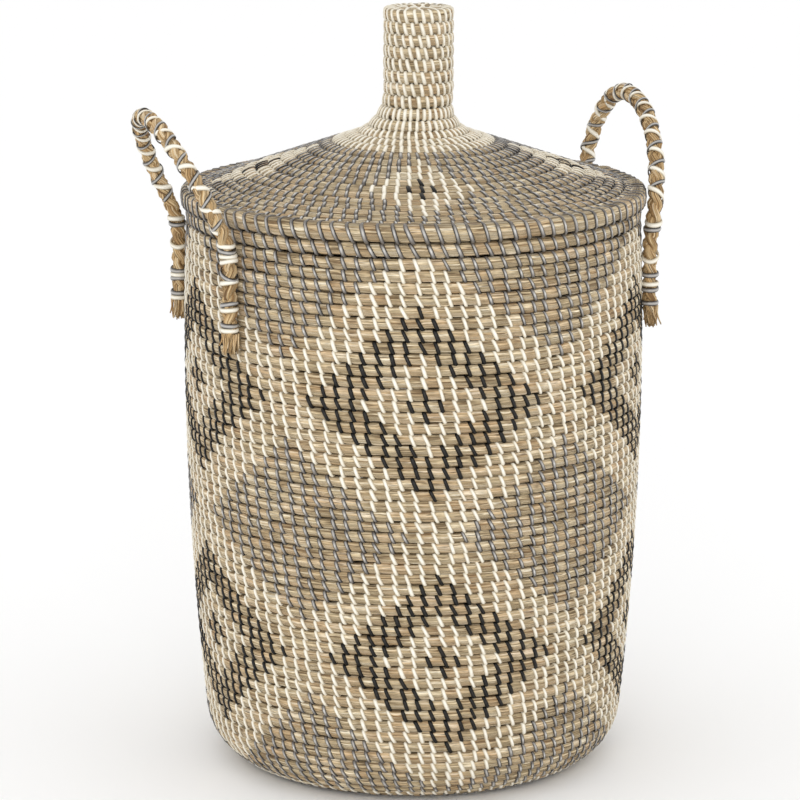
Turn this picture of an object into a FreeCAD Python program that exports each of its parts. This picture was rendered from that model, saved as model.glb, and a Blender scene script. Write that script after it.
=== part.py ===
"""Lidded laundry basket, coiled from seagrass rope, with two braided rope handles.

The basket is one long coil of grass laid row on row and stitched: a flat base, a wall that
swells a little above its rounded heel, and a fatter coil round the mouth. The lid is a second
coil, a shallow cone that flares up into a narrow neck to hold it by, and it drops over the
mouth on a ring of coil underneath. Each handle is a stiff braid: two legs lashed to the outside
of the wall, and between them a loop that swings about the line through the tops of its legs.

Millimetres. The origin is on the floor, on the basket's axis. +Z is up, and the two handles
stand at -X and +X.
"""
import FreeCAD, Part
import math
import os

Vector = FreeCAD.Vector

# ---- basket ----
body_height = 499.5        # floor to the top of the rim coil
mouth_radius = 200.0       # outside of the wall at the mouth
belly_swell = 1.6          # how far the wall stands out further at belly_height
belly_height = 300.0
heel_draw_in = 14.0        # how far it has come in where it turns towards the base
heel_height = 46.5
wall_coil_thickness = 9.7
rim_coil_thickness = 13.5
rim_bite = 1.2             # how far a fat coil is pressed flat on what it is stitched to

# ---- lid ----
lid_overhang = 4.5         # the lid's rim coil past the wall at the mouth
lid_rim_thickness = 15.5
lid_coil_thickness = 10.0
lid_seat_gap = 1.0         # clearance between the two rim coils, measured upwards
lid_edge_rise = 7.25       # cone's outer surface above the middle of the lid's rim coil
lid_rim_bite = 1.5
neck_radius = 30.5
neck_foot_rise = 95.0      # top of the basket up to where the neck stands straight
neck_length = 78.5         # from there to the top of the cap
flare_radius = 33.0        # the sweep from the cone into the neck
cap_height = 10.7          # one row of coil
cap_edge_radius = 4.0
locating_clearance = 3.5   # all round, between the locating ring and the rim coil
locating_depth = 12.0      # how far the locating ring reaches into the mouth

# ---- handles ----
rope_diameter = 14.0
leg_standoff = 2.0         # between a leg and the wall where it is widest
leg_half_angle = 23.0      # each leg, round from the handle's middle
leg_drop = 104.0           # top of the basket down to a leg's cut end
hinge_drop = 11.0          # top of the basket down to where a loop bends on its legs
hinge_gap = 0.5            # between a leg's flat top and the round end of its loop
leg_end_round = 2.0
lid_pass_clearance = 0.8   # between the lid's edge going up and the crown of a loop at rest
left_loop_rise = 112.8     # from the hinge to the crown, along the loop
left_crown_reach = 30.2    # how much further out the crown lies than the lid needs
left_crown_shift = 0.0     # how far behind the middle of its legs the crown stands
right_loop_rise = 97.0
right_crown_reach = 4.4
right_crown_shift = 45.0

# ---- strips that bind the handles ----
strip_thickness = 1.2
strip_width = 3.6
lashing_end_margin = 9.0   # bare braid below the last turn of lashing
white_lashing_turns = (0, 2, 3, 6, 10, 13)
grey_lashing_turns = (1, 5, 9, 12)
wrap_pairs = 14            # turns of white strip on a loop, with as many grey between them
wrap_margin = 18.0         # bare rope at each end of a loop

belly_radius = mouth_radius + belly_swell
heel_radius = mouth_radius - heel_draw_in
lid_radius = mouth_radius + lid_overhang
rope_radius = rope_diameter / 2
rim_coil_radius = rim_coil_thickness / 2
lid_rim_radius = lid_rim_thickness / 2
axis_up = Vector(0, 0, 1)
origin = Vector(0, 0, 0)

os.makedirs("parts", exist_ok=True)


def save(shape, name):
    """Write one node's solids."""
    shape.exportStep("parts/" + name + ".step")


def at(radius, height):
    """A point of a turned outline: distance from the axis, and height."""
    return Vector(radius, 0, height)


def circle_through(a, b, c):
    """Centre and radius of the circle through three points of an outline."""
    circle = Part.Circle(a, b, c)
    return circle.Center, circle.Radius


def on_circle(centre, radius, height):
    """The outer point of a circle in an outline, at a height."""
    return at(centre.x + math.sqrt(radius ** 2 - (height - centre.z) ** 2), height)


def arc_round(centre, start, end):
    """The short arc from start to end about a centre."""
    radius = (start - centre).Length
    middle = (start + end) * 0.5 - centre
    return Part.Arc(start, centre + middle * (radius / middle.Length), end).toShape()


def turned(edges):
    """The solid that a closed outline sweeps round the axis."""
    return Part.Face(Part.Wire(Part.__sortEdges__(edges))).revolve(origin, axis_up, 360)


def line(a, b):
    return Part.makeLine(a, b)


def ring(inner, outer, low, high):
    """A plain ring about the axis, between two radii and two heights."""
    height = high - low
    tube = Part.makeCylinder(outer, height, Vector(0, 0, low))
    return tube.cut(Part.makeCylinder(inner, height, Vector(0, 0, low)))


# ---- base and wall: one coil, parted where the flat base meets the rounded heel ----
seat_height = body_height - rim_coil_thickness + rim_bite
mouth_point = at(mouth_radius, seat_height)
belly_point = at(belly_radius, belly_height)
heel_point = at(heel_radius, heel_height)
wall_centre, wall_sweep = circle_through(mouth_point, belly_point, heel_point)
inward = (wall_centre - heel_point).normalize()
heel_sweep = heel_height / (1 - inward.z)
heel_centre = heel_point + inward * heel_sweep
base_radius = heel_centre.x

inner_sweep = wall_sweep - wall_coil_thickness
inner_heel_point = heel_point + inward * wall_coil_thickness
inner_mouth_point = on_circle(wall_centre, inner_sweep, seat_height)
base_edge = at(base_radius, 0)
inner_base_edge = at(base_radius, wall_coil_thickness)
inner_wall_radius = inner_mouth_point.x

wall_coil = turned([
    arc_round(heel_centre, base_edge, heel_point),
    arc_round(wall_centre, heel_point, mouth_point),
    line(mouth_point, inner_mouth_point),
    arc_round(wall_centre, inner_mouth_point, inner_heel_point),
    arc_round(heel_centre, inner_heel_point, inner_base_edge),
    line(inner_base_edge, base_edge),
])
save(wall_coil, "wall_coil")
save(Part.makeCylinder(base_radius, wall_coil_thickness), "base_coil")

# ---- rim coil: a fat round coil, pressed flat where it is stitched on the wall ----
rim_circle = mouth_radius - rim_coil_radius
rim_height = body_height - rim_coil_radius
rim_tube = Part.makeTorus(rim_circle, rim_coil_radius, Vector(0, 0, rim_height))
below_seat = Part.makeCylinder(mouth_radius + 1, seat_height)
save(rim_tube.cut(below_seat), "rim_coil")

# ---- lid: rim coil, cone that flares into the neck, neck, cap and locating ring ----
lid_rim_circle = lid_radius - lid_rim_radius
lid_rim_height = body_height + lid_seat_gap + lid_rim_radius
join_radius = lid_rim_circle - lid_rim_radius + lid_rim_bite
lid_rim_tube = Part.makeTorus(lid_rim_circle, lid_rim_radius, Vector(0, 0, lid_rim_height))
inside_join = Part.makeCylinder(join_radius, lid_rim_thickness, Vector(0, 0, body_height))
save(lid_rim_tube.cut(inside_join), "lid_rim_coil")

neck_foot_height = body_height + neck_foot_rise
neck_foot = at(neck_radius, neck_foot_height)
flare_centre = at(neck_radius + flare_radius, neck_foot_height)
lid_edge = at(join_radius, lid_rim_height + lid_edge_rise)
to_flare = flare_centre - lid_edge
reach = math.sqrt(to_flare.Length ** 2 - flare_radius ** 2)
bend = math.asin(flare_radius / to_flare.Length)
cone_angle = math.atan2(to_flare.z, -to_flare.x) - bend
cone_way = Vector(-math.cos(cone_angle), 0, math.sin(cone_angle))
cone_under = Vector(-math.sin(cone_angle), 0, -math.cos(cone_angle))
flare_point = lid_edge + cone_way * reach
inner_flare_point = flare_point + cone_under * lid_coil_thickness
lid_edge_depth = lid_coil_thickness / math.cos(cone_angle)
inner_lid_edge = lid_edge - Vector(0, 0, lid_edge_depth)
neck_bore_radius = neck_radius - lid_coil_thickness
inner_neck_foot = at(neck_bore_radius, neck_foot_height)

lid_cone = turned([
    line(lid_edge, flare_point),
    arc_round(flare_centre, flare_point, neck_foot),
    line(neck_foot, inner_neck_foot),
    arc_round(flare_centre, inner_neck_foot, inner_flare_point),
    line(inner_flare_point, inner_lid_edge),
    line(inner_lid_edge, lid_edge),
])
save(lid_cone, "lid_cone_coil")

neck_top = neck_foot_height + neck_length - cap_height
save(ring(neck_bore_radius, neck_radius, neck_foot_height, neck_top), "lid_neck_coil")

cap = Part.makeCylinder(neck_radius, cap_height, Vector(0, 0, neck_top))
cap_edges = [edge for edge in cap.Edges if edge.BoundBox.ZMin > neck_top + cap_height / 2]
save(cap.makeFillet(cap_edge_radius, cap_edges), "lid_cap_coil")

# The ring's outline stops on the cone's underside, so the two meet face to face.
locating_radius = min(rim_circle - rim_coil_radius, inner_wall_radius) - locating_clearance
locating_inner = locating_radius - wall_coil_thickness


def underside(radius):
    """The height of the cone's underside at a radius."""
    return inner_lid_edge.z + (join_radius - radius) * math.tan(cone_angle)


locating_low = body_height - locating_depth
locating_corners = [
    at(locating_inner, locating_low),
    at(locating_radius, locating_low),
    at(locating_radius, underside(locating_radius)),
    at(locating_inner, underside(locating_inner)),
]
locating_edges = [line(a, b) for a, b in zip(locating_corners,
                                             locating_corners[1:] + locating_corners[:1])]
save(turned(locating_edges), "lid_locating_ring")

# ---- handles ----
widest_radius = wall_centre.x + wall_sweep
leg_circle = widest_radius + leg_standoff + rope_radius
leg_out = leg_circle * math.cos(math.radians(leg_half_angle))
leg_along = leg_circle * math.sin(math.radians(leg_half_angle))
hinge_height = body_height - hinge_drop
leg_top = hinge_height - rope_radius - hinge_gap
leg_end = body_height - leg_drop
last_turn = max(white_lashing_turns + grey_lashing_turns)
lashing_pitch = (leg_top - leg_end - lashing_end_margin - strip_width) / last_turn
crown_circle = lid_radius + lid_pass_clearance + strip_thickness + rope_radius
# Everything inside the wall's outer surface, to trim the lashings where they enter the wall.
wall_filled = turned([
    arc_round(wall_centre, heel_point, mouth_point),
    line(mouth_point, at(0, seat_height)),
    line(at(0, seat_height), at(0, heel_height)),
    line(at(0, heel_height), heel_point),
])


def leg(foot):
    """One straight leg of braid, standing on the point where it is cut off."""
    rod = Part.makeCylinder(rope_radius, leg_top - leg_end, foot)
    low_edges = [edge for edge in rod.Edges if edge.BoundBox.ZMax < leg_end + 1]
    return rod.makeFillet(leg_end_round, low_edges)


def lashing(foot, turns):
    """Turns of strip round a leg, each ending at the wall."""
    bands = []
    for turn in turns:
        high = leg_top - turn * lashing_pitch
        low = Vector(foot.x, foot.y, high - strip_width)
        band = Part.makeCylinder(rope_radius + strip_thickness, strip_width, low)
        band = band.cut(Part.makeCylinder(rope_radius, strip_width, low))
        bands.append(band.cut(wall_filled))
    return Part.makeCompound(bands)


def tube_on_arc(centre, start, axis, bore, outside, first, last):
    """A tube bent round a centre, between two angles measured from its starting point."""
    rotation = FreeCAD.Rotation(axis, first)
    middle = centre + rotation.multVec(start - centre)
    along = axis.cross(middle - centre)
    rims = [Part.Wire(Part.Circle(middle, along, outside).toShape())]
    if bore:
        rims.append(Part.Wire(Part.Circle(middle, along, bore).toShape()))
    section = Part.Face(rims[0])
    if bore:
        section = section.cut(Part.Face(rims[1]))
    return section.revolve(centre, axis, last - first)


def handle(name, side, rise, crown_reach, crown_shift):
    """One handle: two legs with their lashings on the basket, and a wrapped loop that swings."""
    for place, along in (("front", -leg_along), ("back", leg_along)):
        foot = Vector(side * leg_out, along, leg_end)
        save(leg(foot), "handle_leg_" + name + "_" + place)
        save(lashing(foot, white_lashing_turns), "lashing_white_" + name + "_" + place)
        save(lashing(foot, grey_lashing_turns), "lashing_grey_" + name + "_" + place)

    # The loop is two arcs that run level into one another at its crown, in a plane that
    # leans outwards: one from the front foot and one from the back foot.
    tilt = math.asin((crown_circle + crown_reach - leg_out) / rise)
    up = Vector(side * math.sin(tilt), 0, math.cos(tilt))
    hinge = Vector(side * leg_out, 0, hinge_height)
    crown = hinge + up * rise + Vector(0, crown_shift, 0)
    arcs = []
    for end in (-1, 1):
        foot = hinge + Vector(0, end * leg_along, 0)
        run = leg_along - end * crown_shift
        radius = (run ** 2 + rise ** 2) / (2 * rise)
        centre = crown - up * radius
        axis = (foot - centre).cross(crown - centre).normalize()
        sweep = math.degrees((foot - centre).getAngle(crown - centre))
        arcs.append((centre, foot, axis, sweep, radius * math.radians(sweep)))
    tubes = [tube_on_arc(centre, foot, axis, 0, rope_radius, 0, sweep)
             for centre, foot, axis, sweep, length in arcs]
    ends = [Part.makeSphere(rope_radius, foot) for centre, foot, axis, sweep, length in arcs]
    save(tubes[0].fuse(tubes[1:] + ends).removeSplitter(), "handle_loop_" + name)

    # Turns of strip stand along the loop; none lies across the join of the two arcs.
    join = arcs[0][4]
    whole = join + arcs[1][4]
    step = (whole - 2 * wrap_margin) / (2 * wrap_pairs - 1)
    for colour, offset in (("white", 0), ("grey", 1)):
        bands = []
        for turn in range(wrap_pairs):
            middle = wrap_margin + (2 * turn + offset) * step
            if abs(middle - join) < strip_width:
                middle = join + strip_width
            place = middle
            centre, foot, axis, sweep, length = arcs[0]
            if middle > join:
                place = whole - middle
                centre, foot, axis, sweep, length = arcs[1]
            turned_by = sweep * place / length
            half_band = sweep * strip_width / 2 / length
            bands.append(tube_on_arc(centre, foot, axis, rope_radius,
                                     rope_radius + strip_thickness,
                                     turned_by - half_band, turned_by + half_band))
        save(Part.makeCompound(bands), "wrap_" + colour + "_" + name)


handle("left", -1, left_loop_rise, left_crown_reach, left_crown_shift)
handle("right", 1, right_loop_rise, right_crown_reach, right_crown_shift)
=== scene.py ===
import math

import bpy
import numpy as np
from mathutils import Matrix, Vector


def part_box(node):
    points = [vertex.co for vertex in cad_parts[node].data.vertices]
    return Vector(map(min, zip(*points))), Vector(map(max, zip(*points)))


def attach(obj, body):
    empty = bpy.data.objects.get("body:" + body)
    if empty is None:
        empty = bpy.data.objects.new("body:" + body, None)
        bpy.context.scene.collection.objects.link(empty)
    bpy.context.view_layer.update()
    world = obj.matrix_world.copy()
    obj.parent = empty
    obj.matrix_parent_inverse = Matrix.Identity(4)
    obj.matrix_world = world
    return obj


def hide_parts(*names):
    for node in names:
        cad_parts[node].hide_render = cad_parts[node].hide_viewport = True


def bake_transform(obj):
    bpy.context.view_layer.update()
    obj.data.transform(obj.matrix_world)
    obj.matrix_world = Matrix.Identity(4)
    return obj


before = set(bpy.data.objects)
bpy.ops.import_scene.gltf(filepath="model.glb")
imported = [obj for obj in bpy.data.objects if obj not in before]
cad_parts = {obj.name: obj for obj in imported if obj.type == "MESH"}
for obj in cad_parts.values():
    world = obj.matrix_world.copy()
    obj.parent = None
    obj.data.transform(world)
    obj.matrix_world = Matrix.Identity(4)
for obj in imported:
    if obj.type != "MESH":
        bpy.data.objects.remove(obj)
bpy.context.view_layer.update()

TAU = 2 * math.pi

# ---------------------------------------------------------------- wall rows
# The wall is one bundle of dried seagrass laid round and round, 53 turns from the rim to
# the base. Each turn is squeezed to the last one by its stitches, so it swells into a
# small flat-faced pillow between them. It is split into four pieces, each a band of rows.

ROW_KNOTS = (1, 2, 14, 22, 38, 46)      # rows are pitched evenly between these
ROW_HEIGHTS = (0.4917, 0.4815, 0.3611, 0.2836, 0.1355, 0.0571)
LOW_ROW = 46
LOW_PITCH = 0.0097
WALL_THICK = 0.0097
MOUTH_RADIUS = 0.200
BELLY = (0.2016, 0.300)     # radius and height where the wall swells, and
HEEL = (0.186, 0.0465)      # where it starts to turn in to the base
COLUMNS = 100
FIRST_COLUMN = math.radians(-105.4)
COLUMN_DRIFT = math.radians(0.192)
LEAN = 0.17
ACROSS_CELL = np.array((0.0, 0.13, 0.28, 0.5, 0.72, 0.87))
PINCH = 0.0009              # how deep a stitch pulls the bundle in,
PINCH_WANDER = 0.00028      # give or take
PINCH_REACH = 0.16          # share of the way to the next stitch
SQUEEZE = 0.06
SAG = 0.0004                # how unevenly rows sit, and
SLACK = 0.05                # how unevenly they are filled
AROUND = 12
SQUARENESS = 2 / 3.3
chance = np.random.default_rng(7)


def circle_through(a, b, c):
    """The circle through three points of an outline: its middle, and its size."""
    a, b, c = (np.array(point) for point in (a, b, c))
    middle = np.linalg.solve(2 * np.array((b - a, c - a)), (b @ b - a @ a, c @ c - a @ a))
    return *middle, math.dist(middle, a)


BELLY_CIRCLE = circle_through((MOUTH_RADIUS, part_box("wall_coil")[1].z), BELLY, HEEL)
heel_inwards = (np.array(BELLY_CIRCLE[:2]) - HEEL) / BELLY_CIRCLE[2]
HEEL_TOP = HEEL[1] / (1 - heel_inwards[1])
HEEL_CENTRE = (HEEL[0] + heel_inwards[0] * HEEL_TOP, HEEL_TOP)
HEEL_LENGTH = HEEL_TOP * math.pi / 2


def section(points):
    """The rounded-square outline of a row, as its place up the wall and out of it."""
    turn = np.arange(points) * TAU / points
    out = np.sign(np.cos(turn)) * np.abs(np.cos(turn)) ** SQUARENESS
    up = np.sign(np.sin(turn)) * np.abs(np.sin(turn)) ** SQUARENESS
    return up, out


class Patches:
    """Tubes and strips, each a closed grid of points, that make up one piece."""

    def __init__(self):
        self.parts = []

    def add(self, points, lay, tone, ring=True):
        """points, lay and tone are arrays of patch, place along, place around, xyz."""
        self.parts.append((points, lay, tone, ring))

    def piece(self, name, material, slot):
        """The finished mesh: lay is where a point lies in the straw; the other attribute holds its
        own shade together with where painted shade and painted highlights go.
        """
        total = sum(len(part[0]) for part in self.parts)
        length, girth = self.parts[0][0].shape[1:3]
        columns = max(1, round(math.sqrt(total * girth / length)))
        lines = math.ceil(total / columns)
        corners, places, caps, start, done = [], [], [], 0, 0
        for points, _, _, ring in self.parts:
            count, along, around = points.shape[:3]
            patch, i, j = np.meshgrid(
                np.arange(count),
                np.arange(along if ring else along - 1),
                np.arange(around),
                indexing="ij",
            )
            first = start + patch * along * around
            steps = ((0, 0), (1, 0), (1, 1), (0, 1))
            corners.append(np.stack([
                first + (i + a) % along * around + (j + b) % around for a, b in steps
            ], -1).reshape(-1, 4))
            number = patch + done
            places.append(np.stack([np.stack([
                (number % columns + 0.02 + 0.96 * (i + a) / along) / columns,
                (number // columns + 0.02 + 0.96 * (j + b) / around) / lines,
            ], -1) for a, b in steps], -2).reshape(-1, 4, 2))
            if not ring:
                for k in range(count):
                    base = start + k * along * around
                    caps.append(base + np.arange(around)[::-1])
                    caps.append(base + (along - 1) * around + np.arange(around))
            start += count * along * around
            done += count
        xyz = np.concatenate([part[0].reshape(-1, 3) for part in self.parts])
        corners = np.concatenate(corners)
        places = np.concatenate(places)
        a, b, c, d = (xyz[corners[:, k]] for k in range(4))
        if (np.cross(c - a, d - b) * (a + c)).sum() < 0:
            corners, places = corners[:, ::-1], places[:, ::-1]
            caps = [cap[::-1] for cap in caps]
        loops = np.concatenate([corners.ravel(), *caps])
        sizes = np.concatenate([np.full(len(corners), 4), [len(cap) for cap in caps]])
        mesh = bpy.data.meshes.new(name)
        mesh.vertices.add(len(xyz))
        mesh.vertices.foreach_set("co", xyz.astype(np.float32).ravel())
        mesh.loops.add(len(loops))
        mesh.loops.foreach_set("vertex_index", loops.astype(np.int32))
        mesh.polygons.add(len(sizes))
        begins = np.concatenate([[0], np.cumsum(sizes)[:-1]])
        mesh.polygons.foreach_set("loop_start", begins.astype(np.int32))
        mesh.polygons.foreach_set("use_smooth", np.ones(len(sizes), bool))
        mesh.update(calc_edges=True)
        for layer, index in (("lay", 1), ("tone", 2)):
            values = np.concatenate([part[index].reshape(-1, 3) for part in self.parts])
            made = mesh.attributes.new(layer, "FLOAT_VECTOR", "POINT")
            made.data.foreach_set("vector", values.astype(np.float32).ravel())
        flat = mesh.uv_layers.new(name="OFBake")
        spread = np.zeros((len(loops), 2))
        spread[: places.size // 2] = places.reshape(-1, 2)
        flat.uv.foreach_set("vector", spread.astype(np.float32).ravel())
        mesh.materials.append(material)
        made = bpy.data.objects.new(name, mesh)
        bpy.context.scene.collection.objects.link(made)
        return made


class Wire:
    """A value that flows between a material's nodes; arithmetic on it adds Math nodes."""

    def __init__(self, tree, socket=None):
        self.tree, self.socket = tree, socket

    def node(self, kind, settings=None, sockets=None, out=0):
        made = self.tree.nodes.new(kind)
        for name, value in (settings or {}).items():
            if name == "stops":
                ramp = made.color_ramp
                while len(ramp.elements) < len(value):
                    ramp.elements.new(1)
                for element, (position, colour) in zip(ramp.elements, value):
                    element.position, element.color = position, (*colour, 1)
            else:
                setattr(made, name, value)
        for name, value in (sockets or {}).items():
            if isinstance(value, Wire):
                self.tree.links.new(value.socket, made.inputs[name])
            else:
                made.inputs[name].default_value = value
        return Wire(self.tree, made.outputs[out])

    def other(self, out):
        return Wire(self.tree, self.socket.node.outputs[out])

    def math(self, operation, a, b=0.0, clamp=False):
        settings = {"operation": operation, "use_clamp": clamp}
        return self.node("ShaderNodeMath", settings, {0: a, 1: b})

    def __add__(self, b): return self.math("ADD", self, b)
    def __radd__(self, a): return self.math("ADD", a, self)
    def __sub__(self, b): return self.math("SUBTRACT", self, b)
    def __rsub__(self, a): return self.math("SUBTRACT", a, self)
    def __mul__(self, b): return self.math("MULTIPLY", self, b)
    def __rmul__(self, a): return self.math("MULTIPLY", a, self)
    def __pow__(self, b): return self.math("POWER", self, b)

    def clamp(self):
        return self.math("ADD", self, 0.0, True)

    def noise(self, scales, detail=2.0, rough=0.55):
        """Noise over the straw's own coordinates, stretched by a scale for each."""
        place = self.node("ShaderNodeVectorMath", {"operation": "MULTIPLY"}, {0: self, 1: scales})
        return self.node("ShaderNodeTexNoise", None, {
            "Vector": place, "Scale": 1.0, "Detail": detail, "Roughness": rough})

    def mix(self, a, b, blend="MIX"):
        """Colour b laid over colour a by this value."""
        return self.node("ShaderNodeMix", {"data_type": "RGBA", "blend_type": blend},
                         {0: self, 6: a, 7: b}, 2)


def colour(red, green, blue):
    """A screen colour, 0 to 255, as the light it reflects."""
    return tuple(((c / 255 + 0.055) / 1.055) ** 2.4 for c in (red, green, blue))


def grass(name, shades, fibre_run, fibre_width, rough):
    """Dried seagrass: long fibres along the bundle, each short length its own shade, with painted
    shade where one row meets the next.
    """
    material = bpy.data.materials.new(name)
    material.use_nodes = True
    shader = material.node_tree.nodes["Principled BSDF"]
    start = Wire(material.node_tree)
    lay = start.node("ShaderNodeAttribute", {"attribute_name": "lay"}, out="Vector")
    tone = start.node("ShaderNodeAttribute", {"attribute_name": "tone"}, out="Vector")
    cell = start.node("ShaderNodeSeparateXYZ", None, {0: tone})
    warm, deep = cell.other("Y"), cell.other("Z")
    blade = lay.noise((26, 640, 3.7), 1.0)
    fibre = lay.noise((1 / fibre_run, 1 / fibre_width, 5.1), 3.0, 0.65)
    crack = lay.noise((60, 900, 9.3), 2.0)
    drift = lay.noise((16, 90, 1.3), 1.0)
    shade = (cell * 0.3 + (blade - 0.5) * 2.6 + (drift - 0.5) * 0.9 + 0.35).clamp()
    base = shade.node("ShaderNodeValToRGB", {"stops": shades}, {0: shade})
    tinted = ((drift - 0.5) * 3.0 + (warm - 0.5) * 1.0 + 0.2).clamp() * 0.36
    burnt = tinted.mix(base, (*colour(188, 142, 94), 1))
    split = ((0.445 - crack) * 9.0).clamp() * 0.85
    lined = split.mix(burnt, (*colour(98, 76, 48), 1))
    light = (fibre - 0.5) * 1.9 + 1.0
    # Painted shade: the colour is darkened by up to half where a row turns in to meet the next,
    # where shade falls between rows.
    fibre_and_valley_shade = light * (1.0 - deep * 0.5)
    grey = fibre_and_valley_shade.node("ShaderNodeCombineXYZ", None, {0: fibre_and_valley_shade, 1: fibre_and_valley_shade, 2: fibre_and_valley_shade})
    shown = grey.node("ShaderNodeVectorMath", {"operation": "MULTIPLY"}, {0: lined, 1: grey})
    tree = material.node_tree
    tree.links.new(shown.socket, shader.inputs["Base Color"])
    surface = rough + (fibre - 0.5) * 0.3
    tree.links.new(surface.socket, shader.inputs["Roughness"])
    relief = fibre + crack.clamp() * 0.5
    bump = relief.node("ShaderNodeBump", None, {
        "Height": relief, "Strength": 0.75, "Distance": 0.0012})
    tree.links.new(bump.socket, shader.inputs["Normal"])
    shader.inputs["Specular IOR Level"].default_value = 0.35
    return material


seagrass = grass("seagrass", (
    (0.0, colour(112, 92, 64)), (0.25, colour(165, 145, 111)), (0.5, colour(194, 174, 138)),
    (0.75, colour(213, 196, 163)), (1.0, colour(230, 219, 194))), 0.010, 0.0009, 0.62)


def wall_line(row):
    """Where a row's middle lies on the outside: radius, height, and its up and out."""
    drop = np.interp(row, ROW_KNOTS, [ROW_HEIGHTS[0] - z for z in ROW_HEIGHTS])
    drop += max(row - LOW_ROW, 0) * LOW_PITCH
    on_heel = drop - (ROW_HEIGHTS[0] - HEEL_TOP)
    if on_heel < 0:
        height = ROW_HEIGHTS[0] - drop
        rise = (height - BELLY_CIRCLE[1]) / BELLY_CIRCLE[2]
        away = math.sqrt(1 - rise * rise)
        return BELLY_CIRCLE[0] + BELLY_CIRCLE[2] * away, height, (-rise, away), (away, rise)
    if on_heel < HEEL_LENGTH:
        bend = on_heel / HEEL_CENTRE[1]
        out = (math.cos(bend), -math.sin(bend))
        return (HEEL_CENTRE[0] + HEEL_CENTRE[1] * out[0], HEEL_CENTRE[1] * (1 + out[1]),
                (-out[1], out[0]), out)
    return HEEL_CENTRE[0] - (on_heel - HEEL_LENGTH), 0.0, (1.0, 0.0), (0.0, -1.0)


def lay_row(patches, number, line, half_up, half_out, starts, lean):
    """One turn of the bundle, swelling between the stitches that start at these angles."""
    radius, height, up, out = line
    radius, height = radius - half_out * out[0], height - half_out * out[1]
    ups, outs = section(AROUND)
    gaps = np.diff(np.append(starts, starts[0] + TAU))
    angle = starts[:, None] + gaps[:, None] * ACROSS_CELL
    near = np.minimum(ACROSS_CELL, 1 - ACROSS_CELL)
    swell = 1 - np.exp(-((near / PINCH_REACH) ** 2))
    bulge = chance.normal(0, PINCH_WANDER, len(starts))
    push = (swell * (PINCH + bulge[:, None]) - PINCH)[..., None] * np.abs(outs)
    slack = chance.normal(0, (SAG, SLACK), (len(starts), 2))
    sag = (slack[:, :1] * swell)[..., None]
    full = (1 - SQUEEZE + swell * (SQUEEZE + slack[:, 1:]))[..., None]
    angle = angle[..., None] - lean * gaps[:, None, None] * ups
    along_up = half_up * ups * full + sag
    along_out = half_out * outs + push * np.sign(outs)
    r = radius + along_up * up[0] + along_out * out[0]
    z = height + along_up * up[1] + along_out * out[1]
    points = np.stack([r * np.cos(angle), r * np.sin(angle), z + 0 * angle], -1)
    turn = np.arange(AROUND) / AROUND * 2 * (half_up + half_out) * 1.7
    own = chance.random((len(starts), 2))
    lay = np.stack([angle * radius, turn + 0 * angle,
                    number + 0.25 * own[:, 0, None, None] + 0 * angle], -1)
    # deep marks where painted shade goes: 0 on the row's outer and inner faces, up to 1 where it
    # turns in to meet the next row.
    deep = np.clip((0.86 - np.abs(outs)) / 0.5, 0, 1) ** 0.7
    tone = np.stack([own[:, 0, None, None] + 0 * angle, own[:, 1, None, None] + 0 * angle,
                     deep + 0 * angle], -1)
    shape = (1, -1, AROUND, 3)
    patches.add(points.reshape(shape), lay.reshape(shape), tone.reshape(shape))


# A stitch is a narrow flat strip that goes once round its row, leaning a little, and
# dives into the row below. White is split palm, grey and black are shiny strip.

STRIP_WIDTH = 0.0039
BITE = 0.2                  # how far a stitch reaches over the row below, as a share
STRIP_THICK = 0.0011
SUNK = 0.0004               # how deep a strip's edges lie in the straw
LEAN_WANDER = 0.03
WIDTH_WANDER = 0.07
STRIP_SECTION = np.array((
    (-1.0, 0.0), (-0.62, 0.72), (0.0, 1.0), (0.62, 0.72), (1.0, 0.0), (0.0, -0.4)))


def stitch_row(line, half_up, half_out, starts, lean, width=STRIP_WIDTH):
    """The strips of one row as points, lay and tone: stitch, place along, place around."""
    radius, height, up, out = line
    radius, height = radius - half_out * out[0], height - half_out * out[1]
    ups, outs = section(AROUND)
    gap = TAU / len(starts)
    facing = np.stack([ups * half_out, outs * half_up])
    facing = np.sign(facing) * np.abs(facing) ** 1.3
    facing /= np.linalg.norm(facing, axis=0)
    leans = lean + chance.normal(0, LEAN_WANDER, len(starts))
    wide = width / 2 * (1 + chance.normal(0, WIDTH_WANDER, len(starts)))
    narrow = 0.68 + 0.32 * np.abs(outs) ** 0.5
    angle = starts[:, None] - leans[:, None] * gap * (ups + 0.12 * (1 - ups ** 2))
    lift = STRIP_SECTION[:, 1] * STRIP_THICK - SUNK
    reached = np.where(ups < 0, ups * (1 + BITE * (outs > 0)), ups * 0.98)
    rise = half_up * reached[:, None] + facing[0][:, None] * lift
    away = half_out * outs[:, None] + facing[1][:, None] * lift
    r = radius + rise * up[0] + away * out[0]
    z = height + rise * up[1] + away * out[1]
    reach = (wide[:, None] * narrow)[..., None] * STRIP_SECTION[:, 0]
    turned = angle[..., None] + reach / np.maximum(r, 0.004)
    points = np.stack([r * np.cos(turned), r * np.sin(turned), z + 0 * turned], -1)
    own = chance.random((len(starts), 2, 1, 1))
    run = (np.arange(AROUND) * (half_up + half_out) * 3.4 / AROUND)[:, None]
    lay = np.stack([run + 0 * turned, STRIP_SECTION[:, 0] + 0 * turned,
                    own[:, 0] * 40 + 0 * turned], -1)
    # Painted highlight: a band where each stitch crosses the middle of its row's front, a little
    # higher or lower for each stitch.
    glint_band = np.clip(1 - np.abs(ups - own[:, 1, 0] * 0.3) * 1.7, 0, 1)[..., None]
    glint_band = glint_band * (outs > 0)[:, None]
    tone = np.stack([own[:, 0] + 0 * turned, glint_band + 0 * turned,
                     np.abs(STRIP_SECTION[:, 0]) + 0 * turned], -1)
    return points, lay, tone


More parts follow.
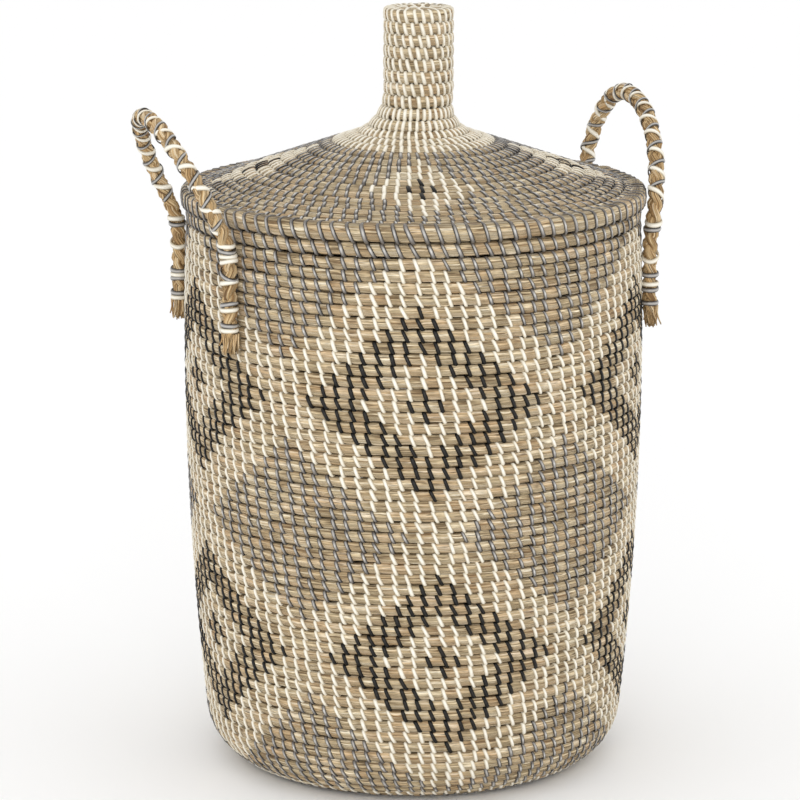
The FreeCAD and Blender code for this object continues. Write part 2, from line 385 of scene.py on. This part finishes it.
def strip(name, middle, shaded_edge, painted_glint, spread, rough, coat, gloss):
    """A flat strip's colour: a painted highlight along its middle, painted shade darkening its
    edges, and fine lines.
    """
    material = bpy.data.materials.new(name)
    material.use_nodes = True
    tree = material.node_tree
    shader = tree.nodes["Principled BSDF"]
    start = Wire(tree)
    lay = start.node("ShaderNodeAttribute", {"attribute_name": "lay"}, out="Vector")
    tone = start.node("ShaderNodeAttribute", {"attribute_name": "tone"}, out="Vector")
    own = start.node("ShaderNodeSeparateXYZ", None, {0: tone})
    glint_band, side = own.other("Y"), own.other("Z")
    lines = lay.noise((120, 4.0, 1.0), 2.0)
    # Painted shade: the colour goes darker towards the strip's edges, with the fine lines and each
    # stitch's own tone mixed in.
    shade = ((side - 0.2) * 1.2 + (lines - 0.5) * 0.9 + (own - 0.5) * spread).clamp()
    flat = shade.mix((*middle, 1), (*shaded_edge, 1))
    # Painted highlight: the glint colour is laid over the middle of the strip where the highlight
    # band lies, fading towards its edges.
    shown = (glint_band * (1.0 - side * 1.5) * 1.2).clamp()
    base = shown.mix(flat, (*painted_glint, 1))
    tree.links.new(base.socket, shader.inputs["Base Color"])
    surface = rough + (lines - 0.5) * 0.3
    tree.links.new(surface.socket, shader.inputs["Roughness"])
    bump = lines.node("ShaderNodeBump", None, {
        "Height": lines, "Strength": 0.35, "Distance": 0.0005})
    tree.links.new(bump.socket, shader.inputs["Normal"])
    shader.inputs["Coat Weight"].default_value = coat
    shader.inputs["Coat Roughness"].default_value = 0.18
    shader.inputs["Specular IOR Level"].default_value = gloss
    return material


# For each strip: middle colour, painted shade at its edges, painted highlight, spread of each
# stitch's own tone, roughness, coat and specular.
STRIPS = {
    "white": strip("white_strip", colour(236, 230, 214), colour(198, 186, 162),
                   colour(250, 247, 238), 0.3, 0.5, 0.0, 0.4),
    "grey": strip("grey_strip", colour(104, 98, 92), colour(30, 27, 25),
                  colour(218, 216, 212), 0.5, 0.26, 0.3, 0.5),
    "black": strip("black_strip", colour(16, 15, 13), colour(5, 5, 4),
                   colour(44, 42, 40), 0.3, 0.34, 0.0, 0.25),
}


def sew(stitches, line, half_up, half_out, starts, lean, colours, width=STRIP_WIDTH):
    """Adds one row's strips to the patches of their colours."""
    points, lay, tone = stitch_row(line, half_up, half_out, starts, lean, width)
    for name, patches in stitches.items():
        chosen = colours == name
        if chosen.any():
            patches.add(points[chosen], lay[chosen], tone[chosen])


def finish_stitches(stitches, name, body, shift=None):
    for shade, patches in stitches.items():
        if patches.parts:
            made = patches.piece(f"{name}_{shade}", STRIPS[shade], f"{shade}_strip")
            if shift:
                shift(made)
            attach(made, body)


def no_stitches():
    return {name: Patches() for name in STRIPS}


# The pattern has five lozenges round the basket in two tiers. In each, a black mark sits
# in a white field, inside a black band and then a white band, on a grey ground.

TIER_ROWS = (14, 38)
GREY_ROWS = (1, 51, 53, 54)
WHITE_ROWS = (52,)


def wall_colours(row):
    column = np.arange(COLUMNS)
    aside = np.abs((column + COLUMNS // 10) % (COLUMNS // 5) - COLUMNS // 10)
    steps = aside + min(abs(row - tier) for tier in TIER_ROWS)
    black = (steps <= 1) | ((steps >= 5) & (steps <= 8))
    white = ((steps >= 2) & (steps <= 4)) | ((steps >= 9) & (steps <= 13))
    found = np.where(black, "black", np.where(white, "white", "grey"))
    if row in GREY_ROWS:
        found[:] = "grey"
    if row in WHITE_ROWS:
        found[:] = "white"
    return found


COLUMN_WANDER = 0.035       # how unevenly the columns of stitches stand, and
STITCH_WANDER = 0.05        # each stitch in its column, as shares of their spacing
own_place = chance.normal(0, COLUMN_WANDER, COLUMNS)


def wall_starts(row):
    wander = own_place + chance.normal(0, STITCH_WANDER, COLUMNS)
    first = FIRST_COLUMN + COLUMN_DRIFT * (row - TIER_ROWS[0])
    return first + (np.arange(COLUMNS) + wander) * TAU / COLUMNS


def half_pitch(row):
    above, below = wall_line(row - 0.5), wall_line(row + 0.5)
    return math.dist(above[:2], below[:2]) / 2


BANDS = ((2, 14), (15, 27), (28, 40), (41, 54))
stitches = no_stitches()
for band, (top, bottom) in enumerate(BANDS):
    rows = Patches()
    for row in range(top, bottom + 1):
        starts = wall_starts(row)
        line, half = wall_line(row), half_pitch(row)
        lay_row(rows, row, line, half, WALL_THICK / 2, starts, LEAN)
        sew(stitches, line, half, WALL_THICK / 2, starts, LEAN, wall_colours(row))
    made = rows.piece(f"wall_rows_{band + 1}", seagrass, "seagrass")
    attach(made, "basket")
    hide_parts("wall_coil")
    if band in (1, 3):
        finish_stitches(stitches, "wall_stitches_" + ("top", "low")[band // 2], "basket")
        stitches = no_stitches()

# ---------------------------------------------------------------- rim
# The rim is a thicker round coil of the same seagrass, sewn on top of the wall with grey
# strip that leans more than the wall's stitches do.

RIM_LEAN = 0.22
RIM_STRIP_WIDTH = 0.0042


def round_row(patches, stitches, number, middle, size, starts, lean, shade, width=STRIP_WIDTH):
    """A round coil, middle giving its radius and height, and its stitches."""
    line = (middle[0] + size, middle[1], (0.0, 1.0), (1.0, 0.0))
    lay_row(patches, number, line, size, size, starts, lean)
    colours = np.full(len(starts), shade)
    sew(stitches, line, size, size, starts, lean, colours, width)


def even_starts(count, first, wander=STITCH_WANDER):
    return first + (np.arange(count) + chance.normal(0, wander, count)) * TAU / count


rim_low, rim_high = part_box("rim_coil")
rim_size = (rim_high.z - rim_low.z) / 2
rows, stitches = Patches(), no_stitches()
round_row(rows, stitches, 1, (rim_high.x - rim_size, rim_high.z - rim_size), rim_size,
          wall_starts(1), RIM_LEAN, "grey", RIM_STRIP_WIDTH)
made = rows.piece("rim_row", seagrass, "seagrass")
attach(made, "basket")
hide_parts("rim_coil")
finish_stitches(stitches, "rim_stitches", "basket")

# ---------------------------------------------------------------- base
# The base is the start of the same bundle: a flat disc that winds out from its middle.
# Its rows carry fewer stitches towards the middle, all grey but for the white start.

BASE_ROWS = 14
BASE_FIRST = 55
STITCH_SPACING = 0.0122
WHITE_BASE_ROWS = 3
FEWEST_STITCHES = 6
edge_radius = wall_line(BASE_FIRST - 0.5)[0]
base_pitch = edge_radius / BASE_ROWS
rows, stitches = Patches(), no_stitches()
for ring in range(BASE_ROWS):
    radius = edge_radius - (ring + 0.5) * base_pitch
    count = max(FEWEST_STITCHES, 5 * round(radius * TAU / STITCH_SPACING / 5))
    starts = even_starts(count, FIRST_COLUMN)
    line = (radius, 0.0, (1.0, 0.0), (0.0, -1.0))
    lay_row(rows, BASE_FIRST + ring, line, base_pitch / 2, WALL_THICK / 2, starts, LEAN)
    shade = np.full(count, "white" if ring >= BASE_ROWS - WHITE_BASE_ROWS else "grey")
    sew(stitches, line, base_pitch / 2, WALL_THICK / 2, starts, LEAN, shade)
made = rows.piece("base_rows", seagrass, "seagrass")
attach(made, "basket")
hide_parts("base_coil")
finish_stitches(stitches, "base_stitches", "basket")

# ---------------------------------------------------------------- lid
# The lid is a coil of the same kind: a thick rim, a shallow cone of 17 rows that sweeps
# up into a narrow neck, and a flat cap. It lifts off. Under it a ring drops into the mouth.

LID_THICK = 0.010
CONE_START = (0.1905, 0.5155)
FLARE_SIZE = 0.033
NECK_RADIUS = 0.0305
NECK_FOOT = 0.5945
FLARE_CENTRE = (NECK_RADIUS + FLARE_SIZE, NECK_FOOT)
TO_FLARE = (CONE_START[0] - FLARE_CENTRE[0], FLARE_CENTRE[1] - CONE_START[1])
CONE_RUN = math.sqrt(math.hypot(*TO_FLARE) ** 2 - FLARE_SIZE ** 2)
CONE_SLOPE = math.atan2(TO_FLARE[1], TO_FLARE[0]) - math.atan2(FLARE_SIZE, CONE_RUN)
FLARE_TURN = math.pi / 2 - CONE_SLOPE
# Rows are narrow by the rim, wide over the cone and narrower again on the flare.
CONE_KNOTS = (0, 4, 5, 14, 17)
CONE_KNOT_RUNS = (-0.004, 0.0321, 0.0425, 0.150, 0.1801)
NECK_ROWS = 8
LID_FIRST = math.radians(-105.7)
LID_LEAN = 0.1
CONE_COUNTS = (100, 100, 96, 96, 92, 84, 80, 80, 76, 72, 68, 64, 60, 52, 44, 40, 36)
CONE_EDGES = np.interp(np.arange(len(CONE_COUNTS) + 1), CONE_KNOTS, CONE_KNOT_RUNS)
LID_CENTRE_ROW = 6
WHITE_CONE_ROWS = 5
LOZENGES = 4
NECK_STITCHES = 25
NECK_TWIST = 0.05           # how far round each row's stitches start past the last row's
CAP_STITCHES = (9, 5)
CAP_STEP = 0.0006           # the inner turn of the cap lies this much lower
RING_STITCHES = 90
# A row's number picks its own grass, so that no two rows look alike.
CONE_NUMBER, NECK_NUMBER, CAP_NUMBER, EDGE_NUMBER, RING_NUMBER = 100, 120, 130, 140, 150
RING_ROW = 0.0108
cone_length = CONE_RUN + FLARE_SIZE * FLARE_TURN
cap_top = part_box("lid_cap_coil")[1].z
neck_start = CONE_EDGES[-1]
neck_pitch = (cap_top - NECK_FOOT + cone_length - neck_start) / NECK_ROWS


def lid_line(run):
    """Where the lid's outside is, this far in from its rim."""
    if run < CONE_RUN:
        up = (-math.cos(CONE_SLOPE), math.sin(CONE_SLOPE))
        return (CONE_START[0] + up[0] * run, CONE_START[1] + up[1] * run, up,
                (math.sin(CONE_SLOPE), math.cos(CONE_SLOPE)))
    if run < cone_length:
        bend = CONE_SLOPE + (run - CONE_RUN) / FLARE_SIZE
        out = (math.sin(bend), math.cos(bend))
        return (FLARE_CENTRE[0] - FLARE_SIZE * out[0], FLARE_CENTRE[1] - FLARE_SIZE * out[1],
                (-out[1], out[0]), out)
    return NECK_RADIUS, NECK_FOOT + run - cone_length, (0.0, 1.0), (1.0, 0.0)


def cone_colours(row, count):
    """Four small lozenges round the cone, black in the middle; white rows near the neck."""
    sector = count // LOZENGES
    column = np.arange(count)
    aside = np.minimum(column % sector, sector - column % sector)
    steps = aside + abs(row - LID_CENTRE_ROW)
    found = np.where(steps <= 1, "black", np.where(steps <= 4, "white", "grey"))
    if row >= len(CONE_COUNTS) - WHITE_CONE_ROWS:
        found[:] = "white"
    return found


NECK_SET = np.array((0.0041, -0.0014, 0.0))
NECK_SET_FROM, NECK_SET_TO = 0.562, 0.605


def lean_neck(made):
    """The neck was wound a few millimetres off the lid's middle."""
    mesh = made.data
    places = np.empty(len(mesh.vertices) * 3, np.float32)
    mesh.vertices.foreach_get("co", places)
    places = places.reshape(-1, 3)
    share = np.clip((places[:, 2] - NECK_SET_FROM) / (NECK_SET_TO - NECK_SET_FROM), 0, 1)
    share = share * share * (3 - 2 * share)
    mesh.vertices.foreach_set("co", (places + share[:, None] * NECK_SET).ravel())
    mesh.update()


cone, neck = Patches(), Patches()
stitches = no_stitches()
for row, count in enumerate(CONE_COUNTS):
    line = lid_line(CONE_EDGES[row: row + 2].mean())
    half = (CONE_EDGES[row + 1] - CONE_EDGES[row]) / 2
    starts = even_starts(count, LID_FIRST, COLUMN_WANDER)
    lay_row(cone, CONE_NUMBER + row, line, half, LID_THICK / 2, starts, LID_LEAN)
    sew(stitches, line, half, LID_THICK / 2, starts, LID_LEAN, cone_colours(row, count))
made = cone.piece("lid_cone_rows", seagrass, "seagrass")
lean_neck(made)
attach(made, "lid")
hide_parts("lid_cone_coil")
finish_stitches(stitches, "lid_cone_stitches", "lid", lean_neck)

stitches = no_stitches()
for row in range(NECK_ROWS):
    line = lid_line(neck_start + (row + 0.5) * neck_pitch)
    starts = even_starts(NECK_STITCHES, LID_FIRST + row * NECK_TWIST)
    lay_row(neck, NECK_NUMBER + row, line, neck_pitch / 2, LID_THICK / 2, starts, LEAN)
    sew(stitches, line, neck_pitch / 2, LID_THICK / 2, starts, LEAN,
        np.full(NECK_STITCHES, "white"))
made = neck.piece("lid_neck_rows", seagrass, "seagrass")
lean_neck(made)
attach(made, "lid")
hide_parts("lid_neck_coil")
finish_stitches(stitches, "lid_neck_stitches", "lid", lean_neck)

cap, stitches = Patches(), no_stitches()
cap_pitch = (NECK_RADIUS - LID_THICK) / 2
for ring, count in enumerate(CAP_STITCHES):
    radius = (1.5 - ring) * cap_pitch
    line = (radius, cap_top - CAP_STEP * ring, (-1.0, 0.0), (0.0, 1.0))
    starts = even_starts(count, LID_FIRST)
    lay_row(cap, CAP_NUMBER + ring, line, cap_pitch / 2, LID_THICK / 2, starts, LEAN)
    sew(stitches, line, cap_pitch / 2, LID_THICK / 2, starts, LEAN, np.full(count, "white"))
made = cap.piece("lid_cap_rows", seagrass, "seagrass")
lean_neck(made)
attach(made, "lid")
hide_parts("lid_cap_coil")
finish_stitches(stitches, "lid_cap_stitches", "lid", lean_neck)

edge_low, edge_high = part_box("lid_rim_coil")
edge_size = (edge_high.z - edge_low.z) / 2
rows, stitches = Patches(), no_stitches()
round_row(rows, stitches, EDGE_NUMBER,
          (edge_high.x - edge_size, edge_high.z - edge_size), edge_size,
          even_starts(COLUMNS, LID_FIRST), RIM_LEAN, "grey", RIM_STRIP_WIDTH)
made = rows.piece("lid_rim_row", seagrass, "seagrass")
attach(made, "lid")
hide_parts("lid_rim_coil")
finish_stitches(stitches, "lid_rim_stitches", "lid")

ring_low, ring_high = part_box("lid_locating_ring")
rows, stitches = Patches(), no_stitches()
for row in range(2):
    line = (ring_high.x, ring_low.z + (row + 0.5) * RING_ROW, (0.0, 1.0), (1.0, 0.0))
    starts = even_starts(RING_STITCHES, LID_FIRST)
    lay_row(rows, RING_NUMBER + row, line, RING_ROW / 2, WALL_THICK / 2, starts, LEAN)
    sew(stitches, line, RING_ROW / 2, WALL_THICK / 2, starts, LEAN,
        np.full(RING_STITCHES, "grey"))
made = rows.piece("lid_locating_rows", seagrass, "seagrass")
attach(made, "lid")
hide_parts("lid_locating_ring")
finish_stitches(stitches, "lid_locating_stitches", "lid")

# ---------------------------------------------------------------- handles
# Each handle is one three-strand plait of browner grass. Its two legs are lashed to the
# wall and the loop stands up between them; a white and a grey strip wind round the loop.

LEG_ANGLE = math.radians(23)
LEG_STANDOFF = 0.002
ROPE_RADIUS = 0.007
BEND = 0.012                # half the height over which a leg bends into its loop
leg_circle = BELLY_CIRCLE[0] + BELLY_CIRCLE[2] + LEG_STANDOFF + ROPE_RADIUS
HINGE = (leg_circle * math.cos(LEG_ANGLE), leg_circle * math.sin(LEG_ANGLE), 0.4885)
LEG_END = 0.4050
SIDES = {
    "left": {"side": -1, "lean": math.radians(25.2), "rise": 0.108, "shift": 0.004},
    "right": {"side": 1, "lean": math.radians(14.0), "rise": 0.097, "shift": 0.045},
}
STEP = 0.0025
PLAIT_LENGTH = 0.036
PLAIT_ASIDE = 0.0034
PLAIT_DEEP = 0.0026
STRAND = 0.0039

plait_grass = grass("braided_grass", (
    (0.0, colour(118, 88, 54)), (0.3, colour(166, 134, 90)), (0.55, colour(196, 166, 120)),
    (0.8, colour(214, 190, 148)), (1.0, colour(228, 210, 176))), 0.009, 0.0007, 0.7)


def evenly(path, step):
    """The path again, with its points this far apart."""
    run = np.concatenate([[0], np.cumsum(np.linalg.norm(np.diff(path, axis=0), axis=1))])
    places = np.linspace(0, run[-1], round(run[-1] / step) + 1)
    return np.stack([np.interp(places, run, path[:, k]) for k in range(3)], -1)


PRESSED_IN = 0.0028
PRESSED_OVER = 0.016        # the height that a leg takes to come in to the wall
PATH_SMOOTHING = 16


def pressed(end, side, height):
    """How far a leg is pulled in to the wall by its lashings, at a height."""
    share = np.clip((HINGE[2] - height) / PRESSED_OVER, 0, 1)[..., None]
    inwards = -np.array((side * HINGE[0], end * HINGE[1], 0))
    return inwards / np.linalg.norm(inwards) * PRESSED_IN * share * share * (3 - 2 * share)


def handle_path(side, lean, rise, shift):
    """The plait's middle line, up the front leg, round the loop and down the back leg."""
    tilt = np.array((side * math.sin(lean), 0, math.cos(lean)))
    along = np.array((0, 1, 0))
    crown = np.array((side * HINGE[0], 0, HINGE[2])) + tilt * rise + along * shift
    path = [(side * HINGE[0], -HINGE[1], LEG_END)]
    for end in (-1, 1):
        run = HINGE[1] - end * shift
        size = (run ** 2 + rise ** 2) / (2 * rise)
        bend = np.linspace(math.atan2(run, size - rise), 0, 100)
        arc = [crown + size * ((math.cos(b) - 1) * tilt + end * math.sin(b) * along) for b in bend]
        path += arc if end < 0 else arc[-2::-1]
    path.append((side * HINGE[0], HINGE[1], LEG_END))
    path = evenly(np.array(path), STEP)
    for end in (-1, 1):
        leg = path[:, 1] * end > HINGE[1] - 0.001
        path[leg] += pressed(end, side, path[leg, 2])
    for _ in range(PATH_SMOOTHING):
        path[1:-1] = (path[:-2] + 2 * path[1:-1] + path[2:]) / 4
    return evenly(path, STEP)


def axes(path, facing):
    """At each point, which way the path runs, its side, and its face."""
    run = np.gradient(path, axis=0)
    run /= np.linalg.norm(run, axis=1)[:, None]
    aside = np.cross(run, facing)
    aside /= np.linalg.norm(aside, axis=1)[:, None]
    return run, aside, np.cross(aside, run)


def tube(path, facing, wide, deep, around, number, shade):
    """A tube of that half width and half depth, with the lay of its own grass."""
    run, aside, face = axes(path, facing)
    turn = np.arange(around) * TAU / around
    wide = np.broadcast_to(np.asarray(wide, float).reshape(-1, 1), (len(path), 1))
    deep = np.broadcast_to(np.asarray(deep, float).reshape(-1, 1), (len(path), 1))
    points = (path[:, None] + aside[:, None] * (wide * np.cos(turn))[..., None]
              + face[:, None] * (deep * np.sin(turn))[..., None])
    place = np.arange(len(path))[:, None] * np.linalg.norm(path[1] - path[0])
    girth = turn * float(wide.mean())
    zero = np.zeros((len(path), around))
    lay = np.stack([place + zero, girth + zero, number + zero], -1)
    tone = np.stack([shade[0] + zero, shade[1] + zero, zero], -1)
    return points[None], lay[None], tone[None]


FLATNESS = 0.93             # how thick the windings lie, for their width


def wound_strip(path, facing, turns, hand, begin, reach, width, thick, phase):
    """A flat strip wound round the path, of that many turns and that hand."""
    run, aside, face = axes(path, facing)
    share = np.linspace(0, 1, turns * 24)
    at = share * (len(path) - 1)
    index = np.arange(len(path))

    def pick(values):
        return np.stack([np.interp(at, index, values[:, k]) for k in range(3)], -1)

    centre, aside, face = pick(path), pick(aside), pick(face)
    angle = begin + hand * share * turns * TAU
    wobble = reach * (1 + 0.05 * np.sin(angle * 1.7 + phase))
    aside, face = aside * np.cos(angle)[:, None], face * np.sin(angle)[:, None]
    return ribbon(centre + (aside + face * FLATNESS) * wobble[:, None], aside + face,
                  width, thick, phase, False)


def ribbon(middle, out, width, thick, number, ring):
    """A flat strip along a line, with out the way that its face looks."""
    if ring:
        run = np.roll(middle, -1, 0) - np.roll(middle, 1, 0)
    else:
        run = np.gradient(middle, axis=0)
    place = np.concatenate([[0], np.cumsum(np.linalg.norm(np.diff(middle, axis=0), axis=1))])
    run /= np.linalg.norm(run, axis=1)[:, None]
    across = np.cross(run, out)
    across /= np.linalg.norm(across, axis=1)[:, None]
    points = (middle[:, None] + across[:, None] * (STRIP_SECTION[:, 0] * width / 2)[None, :, None]
              + out[:, None] * (STRIP_SECTION[:, 1] * thick)[None, :, None])
    zero = np.zeros(points.shape[:2])
    lay = np.stack([place[:, None] + zero, STRIP_SECTION[:, 0] + zero, number + zero], -1)
    # The middle value paints a half-strength highlight along the strip's middle; the last is the
    # distance from its middle, for the painted shade at its edges.
    tone = np.stack([zero + number % 1, zero + 0.5, np.abs(STRIP_SECTION[:, 0]) + zero], -1)
    return points[None], lay[None], tone[None]


# Lashings hold each leg to the wall: height, colour and tilt of every turn of strip.
LASHINGS = {
    ("left", -1): ((0.4875, "white", 0.1), (0.483, "grey", 0.25), (0.478, "white", -0.05),
                   (0.473, "white", -0.3), (0.4615, "grey", 0.75), (0.455, "white", -0.25),
                   (0.436, "grey", -0.3), (0.4315, "white", -0.1), (0.4185, "grey", 0.1),
                   (0.414, "white", 0.0)),
    ("left", 1): ((0.4835, "white", 0.0), (0.479, "grey", 0.2), (0.4615, "white", 0.6),
                  (0.4375, "grey", 0.2), (0.433, "white", 0.0), (0.429, "grey", -0.2),
                  (0.417, "grey", 0.1), (0.4125, "white", 0.0)),
    ("right", -1): ((0.4855, "white", 0.3), (0.48, "grey", 0.1), (0.4555, "white", 0.7),
                    (0.4395, "grey", 0.1), (0.431, "white", 0.0), (0.4265, "grey", 0.15),
                    (0.414, "grey", 0.0)),
    ("right", 1): ((0.4835, "white", 0.2), (0.4785, "grey", 0.0), (0.4585, "white", -0.5),
                   (0.4375, "grey", 0.1), (0.4325, "white", 0.0), (0.4155, "grey", 0.1),
                   (0.411, "white", 0.0)),
}
LASHING_TURN = 20           # points round one turn
LASHING_REACH = 0.0070
LASHING_WIDTH = 0.0044
LASHING_THICK = 0.0010
LASHING_TILT = 0.006
WRAP_TURNS = 14
WRAP_THICK = 0.0008
WRAP_ABOVE = 0.011          # height above the middle of the bend where windings start
FRAYED = 70                 # loose straws at each cut end
FRAY_SPREAD = 0.0030
FRAY_ABOVE = 0.006          # height above the cut end where the straws part
FRAY_LENGTH = 0.011
FRAY_LONGER = 0.008         # how much longer the longest is
STRAW_WIDTH = 0.0010

for name, sizes in SIDES.items():
    side = sizes["side"]
    body = f"handle_{name}"
    path = handle_path(**sizes)
    facing = np.array((side * math.cos(sizes["lean"] / 2), 0, -math.sin(sizes["lean"] / 2)))
    run, aside, face = axes(path, facing)
    place = np.arange(len(path)) * STEP
    plait = Patches()
    for strand in range(3):
        swing = TAU * (place / PLAIT_LENGTH + strand / 3)
        wander = 1 + 0.08 * np.sin(place * 61 + strand)
        line = (path + aside * (PLAIT_ASIDE * np.sin(swing) * wander)[:, None]
                + face * (PLAIT_DEEP * np.sin(2 * swing))[:, None])
        thick = STRAND * (1 + 0.07 * np.sin(place * 173 + strand * 2.1))
        end = np.minimum(place, place[-1] - place)
        thick = thick * np.clip(0.45 + end / 0.006, 0, 1)
        plait.add(*tube(line, facing, thick, thick, 12, strand + side * 7,
                        (0.3 + 0.2 * strand, 0.4)), ring=False)
    made = plait.piece(f"{name}_plait", plait_grass, "braided_grass")
    side * HINGE[0]
    HINGE[2] - BEND
    side * HINGE[0]
    HINGE[2] + BEND
    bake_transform(made)
    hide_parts(f"handle_loop_{name}", f"handle_leg_{name}_front",
                f"handle_leg_{name}_back")

    loop = path[path[:, 2] > HINGE[2] + WRAP_ABOVE]
    white, grey = Patches(), Patches()
    white.add(*wound_strip(loop, facing, WRAP_TURNS, hand=1, begin=0.6, reach=0.0072,
                           width=0.0046, thick=WRAP_THICK, phase=0.3), ring=False)
    grey.add(*wound_strip(loop, facing, WRAP_TURNS, hand=-1, begin=2.2, reach=0.0073,
                          width=0.0036, thick=WRAP_THICK, phase=0.8), ring=False)
    for patches, shade in ((white, "white"), (grey, "grey")):
        made = patches.piece(f"{name}_{shade}_winding", STRIPS[shade], f"{shade}_strip")
        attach(made, body)
        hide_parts(f"wrap_{shade}_{name}")

    ties = {"white": Patches(), "grey": Patches()}
    fray = Patches()
    for end in (-1, 1):
        out = np.array((side * math.cos(LEG_ANGLE), end * math.sin(LEG_ANGLE), 0))
        along = np.array((-out[1], out[0], 0))
        for number, (height, shade, tilt) in enumerate(LASHINGS[name, end]):
            turn = np.arange(LASHING_TURN) * TAU / LASHING_TURN
            look = out * np.cos(turn)[:, None] + along * np.sin(turn)[:, None]
            size = LASHING_REACH + 0.0003 * np.cos(turn)
            middle = np.array((side * HINGE[0], end * HINGE[1], height)) + look * size[:, None]
            middle += pressed(end, side, np.array(height))
            middle[:, 2] += tilt * LASHING_TILT * np.sin(turn) * side
            ties[shade].add(*ribbon(middle, look, LASHING_WIDTH, LASHING_THICK,
                                    number * 0.37 + 0.2, True))
        for number in range(FRAYED):
            spot = chance.normal(0, FRAY_SPREAD, 2)
            length = FRAY_LENGTH + FRAY_LONGER * chance.random()
            share = np.linspace(0, 1, 6)[:, None]
            base = (np.array((side * HINGE[0], end * HINGE[1], LEG_END + FRAY_ABOVE))
                    + pressed(end, side, np.array(LEG_END)) + out * spot[0] + along * spot[1])
            spread = out * chance.normal(0.0006, 0.0014) + along * chance.normal(0, 0.0024)
            line = base - np.array((0, 0, 1)) * length * share + spread * share ** 2
            width = (STRAW_WIDTH * (1 - 0.4 * share)).ravel()
            fray.add(*tube(line, facing, width, width, 6, number * 1.3,
                           chance.random(2) * 0.9), ring=False)
    for shade, patches in ties.items():
        made = patches.piece(f"{name}_{shade}_lashings", STRIPS[shade], f"{shade}_strip")
        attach(made, "basket")
        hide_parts(f"lashing_{shade}_{name}_front", f"lashing_{shade}_{name}_back")
    made = fray.piece(f"{name}_frayed_ends", plait_grass, "braided_grass")
    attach(made, "basket")

# ---------------------------------------------------------------- studio
# A plain white floor, an even white room and one large soft lamp in front.

floor_mesh = bpy.data.meshes.new("floor")
FLOOR = 40
floor_mesh.from_pydata(
    [(-FLOOR, -FLOOR, 0), (FLOOR, -FLOOR, 0), (FLOOR, FLOOR, 0), (-FLOOR, FLOOR, 0)],
    [], [(0, 1, 2, 3)])
floor = bpy.data.objects.new("floor", floor_mesh)
bpy.context.scene.collection.objects.link(floor)
paper = bpy.data.materials.new("paper")
paper.use_nodes = True
paper_shader = paper.node_tree.nodes["Principled BSDF"]
paper_shader.inputs["Base Color"].default_value = (0.96, 0.96, 0.96, 1)
paper_shader.inputs["Roughness"].default_value = 0.9
floor_mesh.materials.append(paper)

world = bpy.data.worlds.new("room")
bpy.context.scene.world = world
world.use_nodes = True
world.node_tree.nodes["Background"].inputs["Color"].default_value = (1, 1, 1, 1)
world.node_tree.nodes["Background"].inputs["Strength"].default_value = 1.04

LAMP_AIM_HEIGHT = 0.35
light = bpy.data.lights.new("front_lamp", "AREA")
light.size = 1.2
light.energy = 15
lamp = bpy.data.objects.new("front_lamp", light)
lamp.location = (-0.9, -2.5, 1.1)
bpy.context.scene.collection.objects.link(lamp)
aim = lamp.location.copy()
aim.z -= LAMP_AIM_HEIGHT
lamp.rotation_euler = aim.to_track_quat("Z", "Y").to_euler()

CAMERA_AWAY = 3.4
CAMERA_TURN = math.radians(-18.5)
CAMERA_HEIGHT = 1.0863
CAMERA_DOWN = math.radians(12.673)
CAMERA_ASIDE = math.radians(0.2)
camera_data = bpy.data.cameras.new("camera")
camera_data.sensor_width = 36
camera_data.lens = 176.1
camera = bpy.data.objects.new("camera", camera_data)
camera.location = (CAMERA_AWAY * math.sin(CAMERA_TURN),
                   -CAMERA_AWAY * math.cos(CAMERA_TURN), CAMERA_HEIGHT)
camera.rotation_euler = (math.pi / 2 - CAMERA_DOWN, 0, CAMERA_TURN + CAMERA_ASIDE)
bpy.context.scene.collection.objects.link(camera)
bpy.context.scene.camera = camera
bpy.context.scene.view_settings.view_transform = "Standard"
